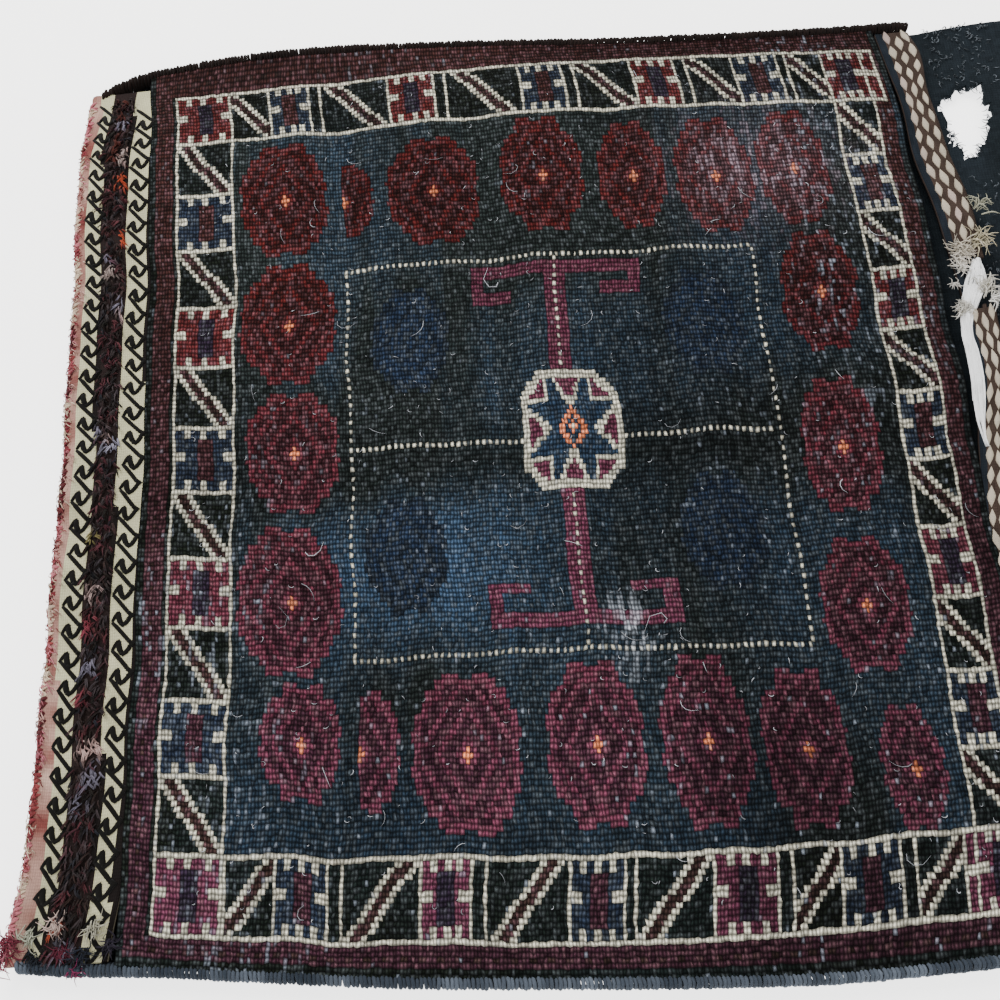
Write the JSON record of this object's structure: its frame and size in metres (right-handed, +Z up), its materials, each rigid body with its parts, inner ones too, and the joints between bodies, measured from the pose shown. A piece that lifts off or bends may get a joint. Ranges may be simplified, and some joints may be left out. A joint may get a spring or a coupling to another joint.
{
  "type": "woven saddle bag",
  "caption": "Double saddle bag of one woven length, folded up at both ends into two flat pouches joined by a bridge.",
  "frame": {"origin": "on the floor under the middle of the bridge, at the middle of the bag's footprint", "axes": "+X along the warps from pouch A to pouch B, +Y across the cloth, +Z up from the floor"},
  "size_m": [1.48, 0.616, 0.022],
  "materials": {
    "cloth": "knotted wool pile in dark navy, wine red and cream, with plain dark weave behind, worn",
    "seam_yarn": "dark overcast yarn, dull"
  },
  "bodies": {
    "root": {"woven_strip": "cloth", "side_seam_a_far": "seam_yarn", "side_seam_a_near": "seam_yarn", "side_seam_b_far": "seam_yarn", "side_seam_b_near": "seam_yarn"}
  },
  "joints": []
}
